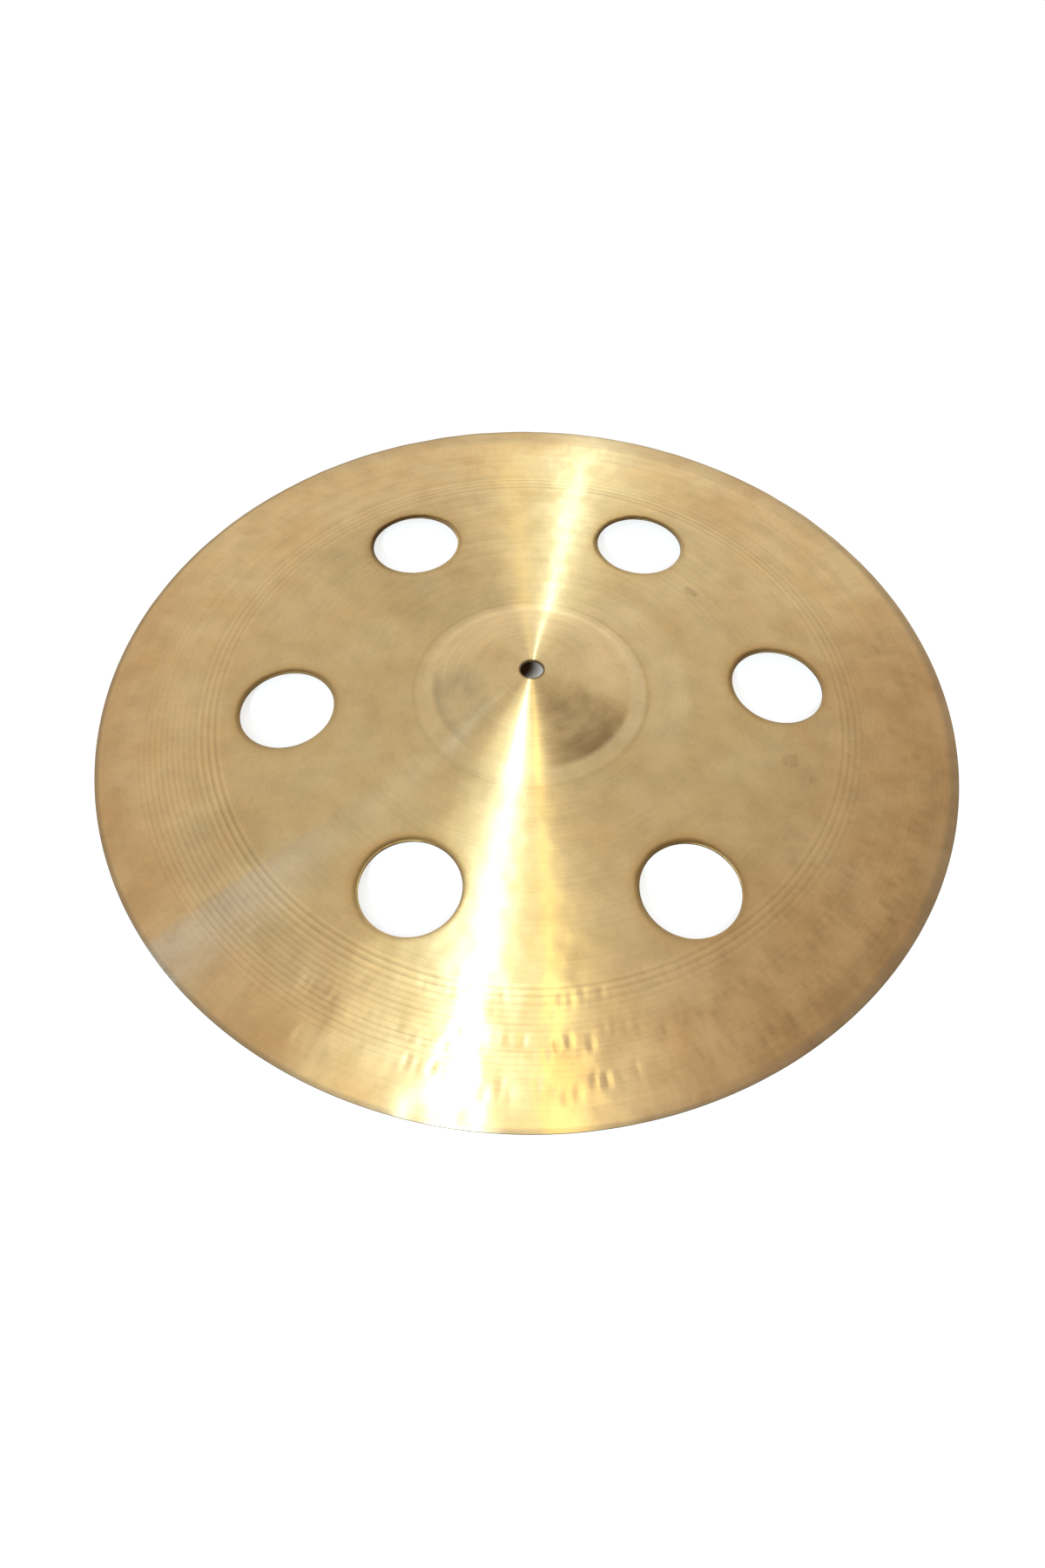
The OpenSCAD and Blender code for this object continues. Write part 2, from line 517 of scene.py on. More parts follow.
def unevenSheet(at):
    # the whole sheet is slightly uneven, as hand-worked metal is, with ripples from the blows
    uneven = at.waves(disc["unevenSize"], at.given["Unevenness"], 0.0)
    ripple = at.waves(hammer["rippleSize"], at.given["Ripple Depth"], hammer["rippleShift"])
    strength = at.product(remap(at.tree, at.r, *hammer["rippleAlong"]),
                          remap(at.tree, at.calc("ABSOLUTE", at.y), *hammer["rippleAside"]))
    return at.part(ripple, strength, uneven)


def dishTree():
    # dishes the flat blank: bow, bell and cove by rule, then the marks of lathe and hammer
    tree = bpy.data.node_groups.new("dishAndHammer", "GeometryNodeTree")
    tree.interface.new_socket("Geometry", in_out="INPUT", socket_type="NodeSocketGeometry")
    kinds = {"NodeSocketFloat": dishSizes, "NodeSocketInt": dishCounts, "NodeSocketMaterial": dishMetals}
    for kind, names in kinds.items():
        for name in names:
            tree.interface.new_socket(name, in_out="INPUT", socket_type=kind)
    tree.interface.new_socket("Geometry", in_out="OUTPUT", socket_type="NodeSocketGeometry")
    at = dishTools(tree)
    upper, lower = sheetSides(at)
    marks = rowMarks(at)
    keep = tree.nodes.new("GeometryNodeStoreNamedAttribute")  # kept for the painted shade in the hollows
    keep.data_type = "FLOAT"
    keep.domain = "POINT"
    keep.inputs["Name"].default_value = "hammerMark"
    tree.links.new(at.given["Geometry"], keep.inputs["Geometry"])
    tree.links.new(marks, keep.inputs["Value"])

    hollows = at.total(at.product(marks, at.given["Mark Depth"]),
                       at.product(spiralDents(at), at.given["Dent Depth"]))
    detail = at.calc("SUBTRACT", at.total(latheRings(at), unevenSheet(at)), hollows)
    rise = at.part(at.named("side"), at.calc("SUBTRACT", upper, lower), lower)
    z = at.calc("MAXIMUM", at.total(rise, detail), disc["floorGap"])
    move = tree.nodes.new("GeometryNodeSetPosition")
    tree.links.new(keep.outputs[0], move.inputs["Geometry"])
    tree.links.new(vector(tree, 0.0, 0.0, at.product(z, mm)), move.inputs["Offset"])
    whole = tree.nodes.new("GeometryNodeRealizeInstances")
    tree.links.new(move.outputs[0], whole.inputs[0])
    last = whole.outputs[0]
    under = at.calc("LESS_THAN", at.named("side"), 0.4)  # side is 1 above, 0.5 round the rim and 0 below
    wall = at.calc("GREATER_THAN", at.named("cutWall"), 0.5)
    for metal, chosen in zip(dishMetals, (None, under, wall)):
        finish = tree.nodes.new("GeometryNodeSetMaterial")
        tree.links.new(last, finish.inputs["Geometry"])
        tree.links.new(at.given[metal], finish.inputs["Material"])
        if chosen:
            tree.links.new(chosen, finish.inputs["Selection"])
        last = finish.outputs[0]
    tree.links.new(last, tree.nodes.new("NodeGroupOutput").inputs[0])
    return tree


# shader groups that the bronze materials share
def newGroup(name, inputs, outputs):
    tree = bpy.data.node_groups.new(name, "ShaderNodeTree")
    for label, value in inputs.items():
        tree.interface.new_socket(label, in_out="INPUT", socket_type="NodeSocketFloat").default_value = value
    for label in outputs:
        tree.interface.new_socket(label, in_out="OUTPUT", socket_type="NodeSocketFloat")
    return tree, tree.nodes.new("NodeGroupInput").outputs, tree.nodes.new("NodeGroupOutput").inputs


def noise(tree, place, detail):
    node = tree.nodes.new("ShaderNodeTexNoise")
    tree.links.new(place, node.inputs["Vector"])
    node.inputs["Scale"].default_value = 1.0
    node.inputs["Detail"].default_value = detail
    return node.outputs[0]


def discPlaceGroup():
    # a point's place on the disc in millimetres: its reach from the centre and its direction
    tree, _, out = newGroup("discPlace", {}, ("X", "Y", "Reach", "Along X", "Along Y"))
    coords = tree.nodes.new("ShaderNodeTexCoord")
    split = tree.nodes.new("ShaderNodeSeparateXYZ")
    tree.links.new(coords.outputs["Object"], split.inputs[0])
    x = maths(tree, "DIVIDE", split.outputs[0], mm)
    y = maths(tree, "DIVIDE", split.outputs[1], mm)
    reach = length(tree, x, y)
    safe = maths(tree, "MAXIMUM", reach, 0.1)
    results = (x, y, reach, maths(tree, "DIVIDE", x, safe), maths(tree, "DIVIDE", y, safe))
    for socket, value in zip(out, results):
        tree.links.new(value, socket)
    return tree


def latheLinesGroup():
    # thin dark lines at an even pitch
    inputs = {"Reach": 0.0, "Line": 0.0, "Pitch": 3.0, "Width": 0.8}
    tree, given, out = newGroup("latheLines", inputs, ("Line",))
    apart = maths(tree, "PINGPONG", maths(tree, "SUBTRACT", given["Reach"], given["Line"]),
                  maths(tree, "MULTIPLY", given["Pitch"], 0.5))
    tree.links.new(remap(tree, apart, 0.0, given["Width"], 1.0, 0.0), out[0])
    return tree


def turnedToneGroup():
    # light and dark rings of uneven width, which come and go round the disc
    inputs = {"Reach": 0.0, "Along X": 0.0, "Along Y": 0.0, "Spacing": 1.2, "Come And Go": 0.9}
    tree, given, out = newGroup("turnedTone", inputs, ("Tone",))
    place = vector(tree, maths(tree, "MULTIPLY", given["Along X"], given["Come And Go"]),
                   maths(tree, "MULTIPLY", given["Along Y"], given["Come And Go"]),
                   maths(tree, "DIVIDE", given["Reach"], given["Spacing"]))
    tree.links.new(remap(tree, noise(tree, place, 1.0), 0.28, 0.72, -1.0, 1.0), out[0])
    return tree


def tarnishGroup():
    # cloudy patches of a chosen size
    inputs = {"X": 0.0, "Y": 0.0, "Size": 20.0, "Shift": 0.0, "Low": 0.4, "High": 0.7}
    tree, given, out = newGroup("tarnish", inputs, ("Patch",))
    place = vector(tree, maths(tree, "DIVIDE", given["X"], given["Size"]),
                   maths(tree, "DIVIDE", given["Y"], given["Size"]), given["Shift"])
    tree.links.new(remap(tree, noise(tree, place, 4.0), given["Low"], given["High"]), out[0])
    return tree


groups = {"place": discPlaceGroup(), "lines": latheLinesGroup(), "tone": turnedToneGroup(),
          "tarnish": tarnishGroup()}


def useGroup(tree, group, **values):
    node = tree.nodes.new("ShaderNodeGroup")
    node.node_tree = groups[group]
    for name, value in values.items():
        feed(tree, node.inputs[name.replace("_", " ")], value)
    return node.outputs


def newMetal(name, roughness):
    material = bpy.data.materials.new(name)
    material.use_nodes = True
    tree = material.node_tree
    shader = tree.nodes["Principled BSDF"]
    shader.inputs["Metallic"].default_value = 1.0
    shader.inputs["Roughness"].default_value = roughness
    return material, tree, shader


def brushedRound(tree, shader):
    # the lathe's scratches run round the disc, so highlights stretch along the radius
    shader.inputs["Anisotropic"].default_value = 1.0
    shader.inputs["Anisotropic Rotation"].default_value = 0.25
    tangent = tree.nodes.new("ShaderNodeTangent")
    tangent.direction_type = "RADIAL"
    tangent.axis = "Z"
    tree.links.new(tangent.outputs[0], shader.inputs["Tangent"])
    return tangent.outputs[0]


bronze = {
    "base": tint(209, 182, 133), "warm": tint(210, 177, 121), "outer": tint(162, 121, 76),
    "copper": tint(204, 152, 102), "pale": tint(228, 203, 157), "stain": tint(148, 117, 80),
    # the dark heat colour on the next line paints the vents' dark edges, heat tint and painted shade
    # together, and the centre hole's worn edge
    "grey": tint(172, 154, 116), "heat": tint(84, 61, 34), "ochre": tint(184, 138, 68),
    "rim": tint(128, 112, 90), "haze": tint(179, 164, 140),
    "roughness": 0.5, "scratchHeight": 0.00001,
}
clouds = {
    "mottle": {"Size": 34.0, "Low": 0.3, "High": 0.75},
    "patches": {"Size": 15.0, "Shift": 7.0, "Low": 0.35, "High": 0.7},
    "grain": {"Size": 2.6, "Shift": 3.0, "Low": 0.25, "High": 0.75},
}
drawnClouds = {
    # drawn out along the radius: where the size holds, the size, how far it is stretched, low and high
    "streak": (205.0, 3.4, 13.0, 0.3, 0.7), "smear": (30.0, 10.0, 4.0, 0.3, 0.7),
}


def discMasks(tree):
    # a point's place on the upper side, with the masks and clouds that its finish is mixed by
    on = sumsOn(tree)
    place = useGroup(tree, "place")
    x, y, r = place["X"], place["Y"], place["Reach"]
    acrossX, acrossY = place["Along X"], place["Along Y"]

    def along(low, high, atLow=0.0, atHigh=1.0):
        # changes along the radius
        return remap(tree, r, low, high, atLow, atHigh)

    def zone(low, high, soft):
        # a ring between two radii
        return band(tree, r, low, high, soft)

    def sector(direction, spread, soft=12):
        # 1 within spread degrees of a direction from the centre
        angle = math.radians(direction)
        towards = on.part(acrossX, math.cos(angle), on.product(acrossY, math.sin(angle)))
        outside, inside = math.radians(spread + soft), math.radians(spread - soft)
        return remap(tree, towards, math.cos(outside), math.cos(inside))

    def leftOf(direction):
        # how far a point lies to the left of a direction from the centre, as a sine
        angle = math.radians(direction)
        return on.part(acrossY, math.cos(angle), on.product(acrossX, -math.sin(angle)))

    def stored(name):
        node = tree.nodes.new("ShaderNodeAttribute")
        node.attribute_name = name
        return node.outputs["Fac"]

    def cover(colour, mask, name):
        # lays one of the bronze colours over what is there
        return blend(tree, mask, colour, bronze[name])

    on.x, on.y, on.r, on.acrossX, on.acrossY = x, y, r, acrossX, acrossY
    on.along, on.zone, on.sector, on.leftOf = along, zone, sector, leftOf
    on.stored, on.cover, on.clouds = stored, cover, {}
    for name, values in clouds.items():
        on.clouds[name] = useGroup(tree, "tarnish", X=x, Y=y, **values)[0]
    for name, (holdsAt, size, stretch, low, high) in drawnClouds.items():
        on.clouds[name] = useGroup(
            tree, "tarnish", X=on.product(acrossX, holdsAt), Y=on.product(acrossY, holdsAt), Size=size,
            Shift=on.calc("DIVIDE", r, stretch), Low=low, High=high)[0]
    return on


turning = {
    # lines that the lathe cut, painted as shade in the grooves with a painted highlight on each coarse one's
    # lip: their widths, how the coarse ones fade outwards, the side that shows them best
    "coarseWidth": 0.9, "fineWidth": 0.8, "coarseSoft": 0.4, "fineSoft": 1.0, "between": 0.6,
    "coarseFade": (169.0, 177.0, 1.0, 0.6), "linedSide": (-128, 40, 12), "shown": (0.7, 0.2),
    "coarseDark": (0.6, 0.5), "fineDark": 0.85, "paintedLipHighlight": 0.7,
    # light and dark rings: spacing and strength
    "thinSpacing": 1.1, "thinTone": 0.6, "wideSpacing": 5.0, "wideTone": 0.35,
}


def turnedMarks(on):
    # the lathe's lines as painted shade in its grooves, with a painted highlight on the lip beside each
    # coarse one, and its light and dark rings
    def lines(line, pitch, width, mask):
        drawn = useGroup(on.tree, "lines", Reach=on.r, Line=line, Pitch=pitch, Width=width)[0]
        return on.product(drawn, mask)

    def rings(spacing):
        along = {"Along_X": on.acrossX, "Along_Y": on.acrossY}
        return useGroup(on.tree, "tone", Reach=on.r, Spacing=spacing, **along)[0]

    deep = on.zone(lathe["coarseFrom"], lathe["fineFrom"] - turning["between"], turning["coarseSoft"])
    deep = on.product(deep, on.along(*turning["coarseFade"]))
    shallow = on.zone(lathe["fineFrom"] + turning["between"], lathe["fineTo"], turning["fineSoft"])
    lipLine = lathe["coarseLine"] + lathe["lip"]
    coarse = lines(lathe["coarseLine"], lathe["coarsePitch"], turning["coarseWidth"], deep)
    # a painted highlight on the lip beside each coarse line
    lip = lines(lipLine, lathe["coarsePitch"], turning["coarseWidth"], deep)
    fine = lines(lathe["fineLine"], lathe["finePitch"], turning["fineWidth"], shallow)
    shown = on.part(on.sector(*turning["linedSide"]), *turning["shown"])
    line = on.product(on.part(lip, -turning["paintedLipHighlight"], coarse), on.part(shown, *turning["coarseDark"]))
    line = on.part(on.product(fine, shown), turning["fineDark"], line)
    thin = rings(turning["thinSpacing"])
    tone = on.part(thin, turning["thinTone"], on.product(rings(turning["wideSpacing"]), turning["wideTone"]))
    return line, thin, tone


bow = {
    # sides of the disc: direction, spread, softness
    "copperSide": (206, 40, 22), "peachSide": (-66, 24, 12), "brownSide": (-24, 41, 14),
    # where each colour starts along the radius, and its strength
    "outwards": (130, 222), "warm": 0.7, "copperMottle": 0.25, "copperStreak": 0.05, "copperThere": 0.08,
    "peachThere": 0.16, "brownFrom": (100, 215), "brown": (0.08, 0.6), "brownCopper": 0.16,
    "edgeFrom": (200, 226), "edge": (0.16, 0.04),
}


def bowColour(on):
    # mottled bronze, coppery and brown towards the edge
    mottle = on.clouds["mottle"]
    colour = on.cover(bronze["base"], on.product(mottle, bow["warm"]), "warm")
    outwards = on.along(*bow["outwards"])
    copperSide = on.sector(*bow["copperSide"])
    coppery = on.part(on.clouds["streak"], bow["copperStreak"], on.product(mottle, bow["copperMottle"]))
    coppery = on.part(copperSide, bow["copperThere"], coppery)
    coppery = on.part(on.sector(*bow["peachSide"]), bow["peachThere"], coppery)
    colour = on.cover(colour, on.product(outwards, coppery), "copper")
    brown = on.product(on.along(*bow["brownFrom"]), on.sector(*bow["brownSide"]))
    brown = on.product(brown, on.part(on.clouds["patches"], *bow["brown"]))
    brown = on.part(on.product(outwards, copperSide), bow["brownCopper"], brown)
    edge = on.product(on.along(*bow["edgeFrom"]), on.part(copperSide, *bow["edge"]))
    return on.cover(colour, on.total(brown, edge), "outer")


collar = {
    # a painted highlight along the cove at the bell's foot: its radii, and the side where it is brightest
    "inner": (51, 53.5), "outer": (58.5, 62.5, 1, 0), "paleSide": (50, 110, 40), "pale": (0.2, 0.2),
    # painted light on one side of it, at the bell's foot and on the bow beyond: radii and softness, strength
    "footSide": (18, 40, 20), "foot": (56, 60.5, 1), "footPale": 0.45,
    "apron": (63.5, 84, 3), "apronPale": 0.3,
    # patches on the bell: direction, spread, inner and outer radius; how they fade past the two radii
    "palePatch": (85, 100, 30, 56), "patchPale": 0.28, "innerFade": (-6, 10), "outerFade": (-1, 2.5),
}


def bellPatch(on, direction, spread, low, high):
    # a part of the bell, soft on three sides and cut off by the collar
    inner = on.along(*[low + d for d in collar["innerFade"]])
    outer = on.along(*[high + d for d in collar["outerFade"]], 1.0, 0.0)
    return on.product(on.sector(direction, spread), inner, outer)


def collarHighlightAndPale(on, colour):
    # a painted highlight along the collar, brightest on one side, painted light on the bow beside it, and the
    # bell paler over its far half
    ring = on.product(on.along(*collar["inner"]), on.along(*collar["outer"]))
    ring = on.product(ring, on.part(on.sector(*collar["paleSide"]), *collar["pale"]))
    colour = on.cover(colour, ring, "pale")
    foot = on.part(on.zone(*collar["foot"]), collar["footPale"],
                   on.product(on.zone(*collar["apron"]), collar["apronPale"]))
    colour = on.cover(colour, on.product(foot, on.sector(*collar["footSide"])), "pale")
    return on.cover(colour, on.product(bellPatch(on, *collar["palePatch"]), collar["patchPale"]), "pale")


wear = {
    # a greyer streak: direction of its sharp side, degrees over which it starts and ends, reach, strength
    "greyStreakSide": -139.2, "greyStreakStart": (-0.8, 0.8), "greyStreakEnd": (2, 13), "greyStreakSpread": 40,
    "greyStreakFrom": (90, 180), "greyStreak": 0.4,
    # dark and grey parts of the edge: side, where they start, strength
    "darkSide": (-5, 62, 25), "darkFrom": (221.5, 226), "dark": 0.45,
    "greySide": (85, 42, 18), "greyFrom": (212, 224), "grey": 0.25, "rim": (225.4, 227.6, 0, 0.55),
    # the stained and the greyed patch of the bell, and their strength
    "stainPatch": (-46, 25, 8, 52.5), "stainWorn": 0.36, "stainAlong": (10, 54, 0.08, 0.44),
    "greyPatch": (-157, 27, 26, 51), "greyed": (0.4, 0.36),
    # smudges on the bow: place and radius
    "spots": ((89, 78, 4), (136, -37, 5), (145, -46, 4), (199, 59, 7), (192, 48, 5)),
    "spotCore": 0.35, "spotRagged": 5.6, "spot": 0.45,
}


def wornBow(on, colour):
    # the greyer streak, then the edge
    def sines(degrees):
        return [math.sin(math.radians(d)) for d in degrees]

    aside = on.leftOf(wear["greyStreakSide"])
    start = remap(on.tree, aside, *sines(wear["greyStreakStart"]))
    end = remap(on.tree, aside, *sines(wear["greyStreakEnd"]), 1.0, 0.0)
    near = on.product(on.sector(wear["greyStreakSide"], wear["greyStreakSpread"]), on.along(*wear["greyStreakFrom"]))
    colour = on.cover(colour, on.product(start, end, near, wear["greyStreak"]), "haze")
    dark = on.product(on.along(*wear["darkFrom"]), on.sector(*wear["darkSide"]), wear["dark"])
    grey = on.product(on.along(*wear["greyFrom"]), on.sector(*wear["greySide"]), wear["grey"])
    rim = on.calc("MAXIMUM", on.calc("MAXIMUM", dark, grey), on.along(*wear["rim"]))
    return on.cover(colour, rim, "rim")


def wornBell(on, colour):
    # the stained and the greyed patch of the bell, then the smudges on the bow
    smear, patches = on.clouds["smear"], on.clouds["patches"]
    worn = on.product(on.total(smear, patches), 0.5)
    stain = on.part(worn, wear["stainWorn"], on.along(*wear["stainAlong"]))
    stain = on.product(bellPatch(on, *wear["stainPatch"]), stain)
    colour = on.cover(colour, stain, "stain")
    greyed = on.product(bellPatch(on, *wear["greyPatch"]), on.part(worn, *wear["greyed"]))
    colour = on.cover(colour, greyed, "grey")
    ragged = on.product(on.calc("SUBTRACT", patches, 0.5), wear["spotRagged"])
    for spotX, spotY, radius in wear["spots"]:
        apart = length(on.tree, on.calc("SUBTRACT", on.x, spotX), on.calc("SUBTRACT", on.y, spotY))
        smudge = remap(on.tree, on.total(apart, ragged), radius * wear["spotCore"], radius, 1.0, 0.0)
        colour = on.cover(colour, on.product(smudge, smear, wear["spot"]), "stain")
    return colour, stain


burntAndShaded = {
    # heat tint round the vents, their dark edge partly painted shade: how far the halo and the dark edge
    # reach, and their strength by side
    "ragged": 0.84, "halo": (1.0, 8.0, 1.0, 0.0), "haloLean": (0.25, 0.3),
    "dark": (0.7, 3.7, 1.0, 0.0), "heatAndShadeLean": (0.4, 0.5), "heatAndShadeFar": (0, 110, 0.85, 1.25),
    # the dark edge of the centre hole
    "holeRagged": 0.35, "hole": (6.1, 7.3, 0.85, 0.0),
}


def burntAndShadedEdges(on, colour):
    # heat tint round the vents, strongest on one side of each; the dark edge is partly painted shade of the
    # cut wall and the shadow below it, and darker towards the far half of the disc; then the worn edge of the
    # centre hole
    uneven = on.calc("SUBTRACT", on.clouds["patches"], 0.5)
    gap = on.part(uneven, burntAndShaded["ragged"], on.stored("ventGap"))
    lean = on.stored("ventLean")
    halo = on.product(remap(on.tree, gap, *burntAndShaded["halo"]), on.part(lean, *burntAndShaded["haloLean"]))
    colour = on.cover(colour, halo, "ochre")
    # the dark edge: heat tint together with painted shade, darker on the far half of the disc
    dark = on.product(remap(on.tree, gap, *burntAndShaded["dark"]), on.part(lean, *burntAndShaded["heatAndShadeLean"]))
    colour = on.cover(colour, on.product(dark, remap(on.tree, on.y, *burntAndShaded["heatAndShadeFar"])), "heat")
    hole = remap(on.tree, on.part(uneven, burntAndShaded["holeRagged"], on.r), *burntAndShaded["hole"])
    return on.cover(colour, hole, "heat")


tones = {
    # how much each kind of mark darkens the bronze
    "rings": 0.08, "lines": 0.17, "hammer": 0.2, "clouds": {"patches": 0.1, "mottle": 0.06, "grain": 0.06},
    "struckSide": (-68, 50, 30), "struckFrom": (160, 195), "struck": 0.05,
    # the line of painted shade in the crease round the collar, the top of the bell, the side painted in shade
    "collarLine": (61.4, 63.2, 0.8), "collarDark": 0.06, "bellTop": (20, 34, 0.04, 0.0),
    "shadySide": (-38, 27, 10), "shady": (44, 58, 0.05, 0.035),
    # darker and lighter parts of the bow: side of the disc, radii and softness, change in brightness. The
    # first is painted shade that dims the far highlight's flanks; the last three are painted light beside the
    # near and the far highlight
    "areas": (((98, 42, 16), (58, 168, 10), -0.06), ((126, 16, 10), (58, 168, 6), -0.06),
              ((-33, 26, 10), (212, 235, 5), -0.11), ((-146, 5, 3.5), (160, 198, 8), -0.11),
              ((-127, 7, 5), (178, 198, 5), -0.07), ((-73, 12, 8), (84, 176, 8), 0.05),
              ((101, 10, 6), (84, 152, 8), 0.05), ((-71, 14, 8), (180, 235, 6), 0.035)),
}


def brightness(on, line, tone):
    # the lines, the rings and the marks darken and lighten what lies under them, with painted shade and
    # painted light among them
    shade = on.part(tone, tones["rings"], 1.0)
    # painted shade in the lathe's grooves, lightened by the painted highlight on their lips
    shade = on.part(line, -tones["lines"], shade)
    # painted shade in the hammer marks' hollows
    shade = on.part(on.stored("hammerMark"), -tones["hammer"], shade)
    for name, dark in tones["clouds"].items():
        shade = on.part(on.calc("SUBTRACT", on.clouds[name], 0.5), -dark, shade)
    struckSide = on.product(on.along(*tones["struckFrom"]), on.sector(*tones["struckSide"]))
    streaks = on.product(struckSide, on.calc("SUBTRACT", on.clouds["streak"], 0.5))
    shade = on.part(streaks, -tones["struck"], shade)
    # painted shade and painted light over parts of the bow
    for side, radii, change in tones["areas"]:
        shade = on.part(on.product(on.sector(*side), on.zone(*radii)), change, shade)
    # a line of painted shade in the crease round the collar
    shade = on.part(on.zone(*tones["collarLine"]), -tones["collarDark"], shade)
    # painted shade over one side, standing in for a darker reflection of the room
    shady = on.product(on.sector(*tones["shadySide"]), on.along(*tones["shady"]))
    return on.calc("SUBTRACT", shade, on.total(on.along(*tones["bellTop"]), shady))


gloss = {
    # how much smoother the bell, the outer band and the far side are than the bow
    "farSide": (84, 32, 18), "bell": (44, 58, 0.06, 0.0), "farBell": (1.4, 1.0),
    "farEdge": (196, 222, 0.0, 0.11), "outer": (145, 190, 0.0, 0.06), "farBow": (60, 170, 12), "bow": 0.08,
    # how much rougher the rings and the stain are
    "rings": 0.03, "stain": 0.08,
    # the finer polish: its share, its roughness and how far it stretches light along the radius
    "polish": 0.3, "polishRoughness": 0.33, "polishAlong": 0.82,
}


def roughness(on, tone, stain):
    farSide = on.sector(*gloss["farSide"])
    rough = on.part(tone, gloss["rings"], bronze["roughness"])
    rough = on.part(stain, gloss["stain"], rough)
    bell = on.product(on.along(*gloss["bell"]), on.part(farSide, *gloss["farBell"]))
    edge = on.product(on.along(*gloss["farEdge"]), farSide)
    farBow = on.product(on.zone(*gloss["farBow"]), farSide, gloss["bow"])
    return on.calc("SUBTRACT", rough, on.total(bell, edge, farBow, on.along(*gloss["outer"])))


def finerPolish(on, shader, colour, normal, scratches):
    # on the two polished sides the streaks of light are narrower than the main shader can make them
    polish = on.tree.nodes.new("ShaderNodeBsdfAnisotropic")
    polish.distribution = "GGX"
    polish.inputs["Roughness"].default_value = gloss["polishRoughness"]
    polish.inputs["Anisotropy"].default_value = gloss["polishAlong"]
    on.tree.links.new(colour, polish.inputs["Color"])
    on.tree.links.new(normal, polish.inputs["Normal"])
    on.tree.links.new(scratches, polish.inputs["Tangent"])
    both = on.tree.nodes.new("ShaderNodeMixShader")
    on.tree.links.new(on.product(on.stored("polish"), gloss["polish"]), both.inputs[0])
    on.tree.links.new(shader.outputs[0], both.inputs[1])
    on.tree.links.new(polish.outputs[0], both.inputs[2])
    on.tree.links.new(both.outputs[0], on.tree.nodes["Material Output"].inputs["Surface"])


def upperBronze():
    material, tree, shader = newMetal("upperBronze", bronze["roughness"])
    scratches = brushedRound(tree, shader)
    on = discMasks(tree)
    line, thin, tone = turnedMarks(on)
    colour = wornBow(on, collarHighlightAndPale(on, bowColour(on)))
    colour, stain = wornBell(on, colour)
    colour = dimmed(tree, burntAndShadedEdges(on, colour), brightness(on, line, tone))
    tree.links.new(colour, shader.inputs["Base Color"])
    tree.links.new(roughness(on, tone, stain), shader.inputs["Roughness"])
    bump = tree.nodes.new("ShaderNodeBump")
    bump.inputs["Distance"].default_value = bronze["scratchHeight"]
    tree.links.new(on.calc("SUBTRACT", thin, line), bump.inputs["Height"])
    tree.links.new(bump.outputs[0], shader.inputs["Normal"])
    finerPolish(on, shader, colour, bump.outputs[0], scratches)
    return material


underside = {
    # light and dark rings: spacing and strength
    "rings": ((1.3, 0.05), (6.0, 0.04)), "level": 0.97,
    "mottle": {"Size": 40.0, "Shift": 3.0, "Low": 0.3, "High": 0.75}, "brown": 0.3,
    "lines": {"Line": 60.0, "Pitch": 4.2, "Width": 0.9}, "linesBetween": (64.0, 206.0, 2.0), "lineDark": 0.12,
}


def underBronze():
    material, tree, shader = newMetal("underBronze", bronze["roughness"])
    brushedRound(tree, shader)
    place = useGroup(tree, "place")
    r = place["Reach"]
    along = {"Along_X": place["Along X"], "Along_Y": place["Along Y"]}
    mottle = useGroup(tree, "tarnish", X=place["X"], Y=place["Y"], **underside["mottle"])[0]
    colour = blend(tree, maths(tree, "MULTIPLY", mottle, underside["brown"]), bronze["base"], bronze["outer"])
    shade = underside["level"]
    for spacing, strength in underside["rings"]:
        rings = useGroup(tree, "tone", Reach=r, Spacing=spacing, **along)[0]
        shade = maths(tree, "MULTIPLY_ADD", rings, strength, shade)
    lines = useGroup(tree, "lines", Reach=r, **underside["lines"])[0]
    lines = maths(tree, "MULTIPLY", lines, band(tree, r, *underside["linesBetween"]))
    shade = maths(tree, "MULTIPLY_ADD", lines, -underside["lineDark"], shade)
    tree.links.new(dimmed(tree, colour, shade), shader.inputs["Base Color"])
    return material


# painted shade: the cut walls are kept dark brown and dim, as walls in shadow, so that they barely glint
cutEdge = {
    "roughness": 0.5, "brown": tint(98, 78, 48), "dark": tint(74, 56, 34),
    "patches": {"Size": 6.0, "Low": 0.3, "High": 0.7},
}


def cutBronze():
    material, tree, shader = newMetal("cutBronze", cutEdge["roughness"])
    place = useGroup(tree, "place")
    patches = useGroup(tree, "tarnish", X=place["X"], Y=place["Y"], **cutEdge["patches"])[0]
    tree.links.new(blend(tree, patches, cutEdge["brown"], cutEdge["dark"]), shader.inputs["Base Color"])
    return material


def makeCymbal():
    piece = bpy.data.objects.new("lathedCymbal", blank)
    scene.collection.objects.link(piece)
    modifier = piece.modifiers.new("dishAndHammer", "NODES")
    modifier.node_group = dishTree()
    metals = dict(zip(dishMetals, (upperBronze(), underBronze(), cutBronze())))
    values = {**dishSizes, **dishCounts, **metals}
    for socket in modifier.node_group.interface.items_tree:
        if socket.name in values:
            modifier[socket.identifier] = values[socket.name]
    bpy.context.view_layer.update()
    shown = piece.evaluated_get(bpy.context.evaluated_depsgraph_get())
    finished = bpy.data.meshes.new_from_object(shown)
    piece.modifiers.remove(modifier)
    piece.data = finished
    return piece


cymbal = makeCymbal()
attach(cymbal, "root")
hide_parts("cymbal")
print("cymbal dished:", len(cymbal.data.polygons), "faces")
print("finishes:", [m.name for m in cymbal.data.materials])


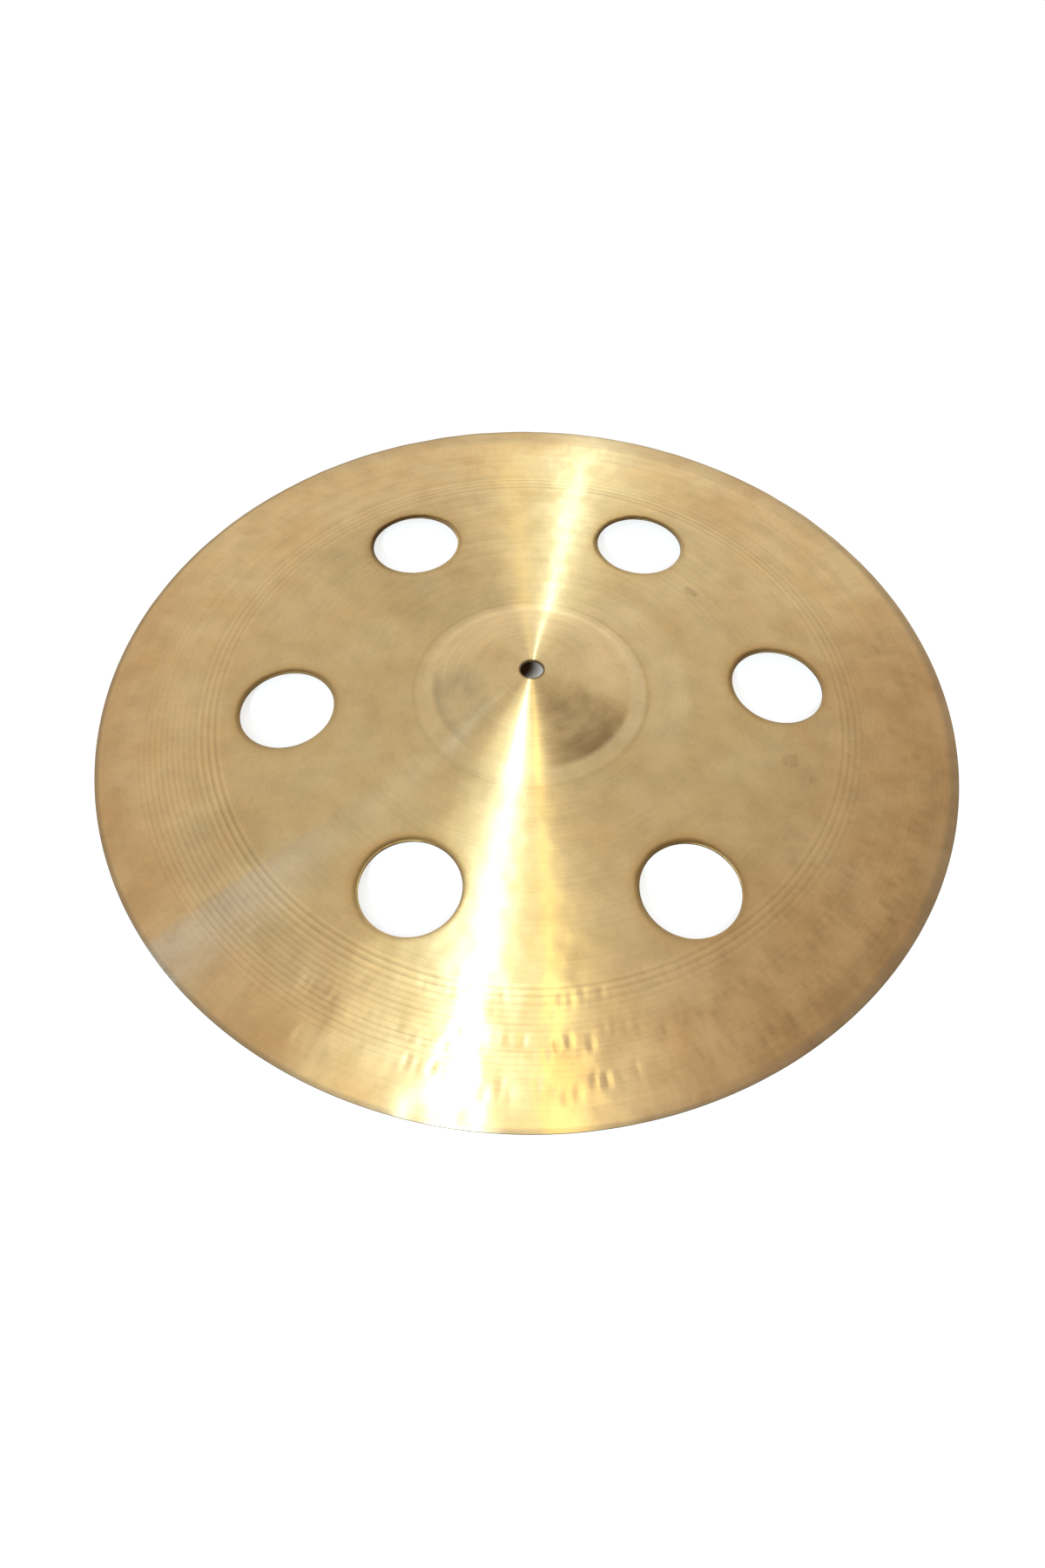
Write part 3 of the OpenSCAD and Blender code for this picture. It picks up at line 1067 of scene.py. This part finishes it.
studio = {
    # lengths and places are in metres here
    "roomLevel": 1.15, "floorReach": 20.0, "floorGlow": 0.7, "floorColour": (0.85, 0.85, 0.85, 1.0),
    # a shadow painted dark on the floor under the bell, which the centre hole shows: its middle, inner and
    # outer reach
    "shadeAt": (-0.012, 0.03, 0.0), "shadeReach": 0.01, "shadeEdge": 0.024, "shade": (0.06, 0.04, 0.02, 1.0),
    # name: place, width and length, power, colour
    "lamps": {
        "streakLamp": ((-0.275, -1.214, 0.882), (0.1, 0.1), 29, (0.56, 0.79, 1.0)),
        "softLamp": ((-0.158, -0.587, 0.871), (0.84, 0.35), 4.7, (0.8, 1.0, 0.96)),
        "warmLamp": ((0.098, -0.604, 0.441), (0.04, 0.04), 0.62, (1.0, 0.84, 0.1)),
        "coolLamp": ((-1.474, -0.465, 0.414), (0.12, 0.12), 2.2, (0.36, 0.6, 1.0)),
    },
}


def floorMaterial():
    material = bpy.data.materials.new("whiteFloor")
    material.use_nodes = True
    tree = material.node_tree
    tree.nodes.clear()
    out = tree.nodes.new("ShaderNodeOutputMaterial")
    matte = tree.nodes.new("ShaderNodeBsdfDiffuse")
    glow = tree.nodes.new("ShaderNodeEmission")
    path = tree.nodes.new("ShaderNodeLightPath")
    mirrored = maths(tree, "MAXIMUM", path.outputs["Is Glossy Ray"], path.outputs["Is Transmission Ray"])
    seen = maths(tree, "MAXIMUM", path.outputs["Is Camera Ray"], mirrored)
    # a painted shadow: the floor under the bell is painted dark and does not glow there
    coords = tree.nodes.new("ShaderNodeTexCoord")
    apart = tree.nodes.new("ShaderNodeVectorMath")
    apart.operation = "DISTANCE"
    tree.links.new(coords.outputs["Object"], apart.inputs[0])
    apart.inputs[1].default_value = studio["shadeAt"]
    outside = remap(tree, apart.outputs["Value"], studio["shadeReach"], studio["shadeEdge"])
    tree.links.new(blend(tree, outside, studio["shade"], studio["floorColour"]), matte.inputs["Color"])
    white = maths(tree, "MULTIPLY", maths(tree, "MULTIPLY", seen, outside), studio["floorGlow"])
    mix = tree.nodes.new("ShaderNodeMixShader")
    tree.links.new(white, mix.inputs[0])
    tree.links.new(matte.outputs[0], mix.inputs[1])
    tree.links.new(glow.outputs[0], mix.inputs[2])
    tree.links.new(mix.outputs[0], out.inputs[0])
    return material


def addFloor():
    mesh = bpy.data.meshes.new("floor")
    reach = studio["floorReach"]
    corners = [(-reach, -reach, 0), (reach, -reach, 0), (reach, reach, 0), (-reach, reach, 0)]
    mesh.from_pydata(corners, [], [(0, 1, 2, 3)])
    floor = bpy.data.objects.new("floor", mesh)
    floor.data.materials.append(floorMaterial())
    scene.collection.objects.link(floor)


def addLamp(name, place, size, power, colour):
    data = bpy.data.lights.new(name, "AREA")
    data.shape = "RECTANGLE"
    data.size, data.size_y = size
    data.energy = power
    data.color = colour
    lamp = bpy.data.objects.new(name, data)
    lamp.location = place
    lamp.rotation_euler = (-Vector(place)).to_track_quat("-Z", "Y").to_euler()
    scene.collection.objects.link(lamp)


def addWorld():
    # an even white room
    world = bpy.data.worlds.new("studio")
    scene.world = world
    world.use_nodes = True
    back = world.node_tree.nodes["Background"]
    back.inputs["Color"].default_value = (1.0, 1.0, 1.0, 1.0)
    back.inputs["Strength"].default_value = studio["roomLevel"]


addFloor()
addWorld()
for lampName, lampFacts in studio["lamps"].items():
    addLamp(lampName, *lampFacts)
print("floor, room and", len(studio["lamps"]), "lamps added")
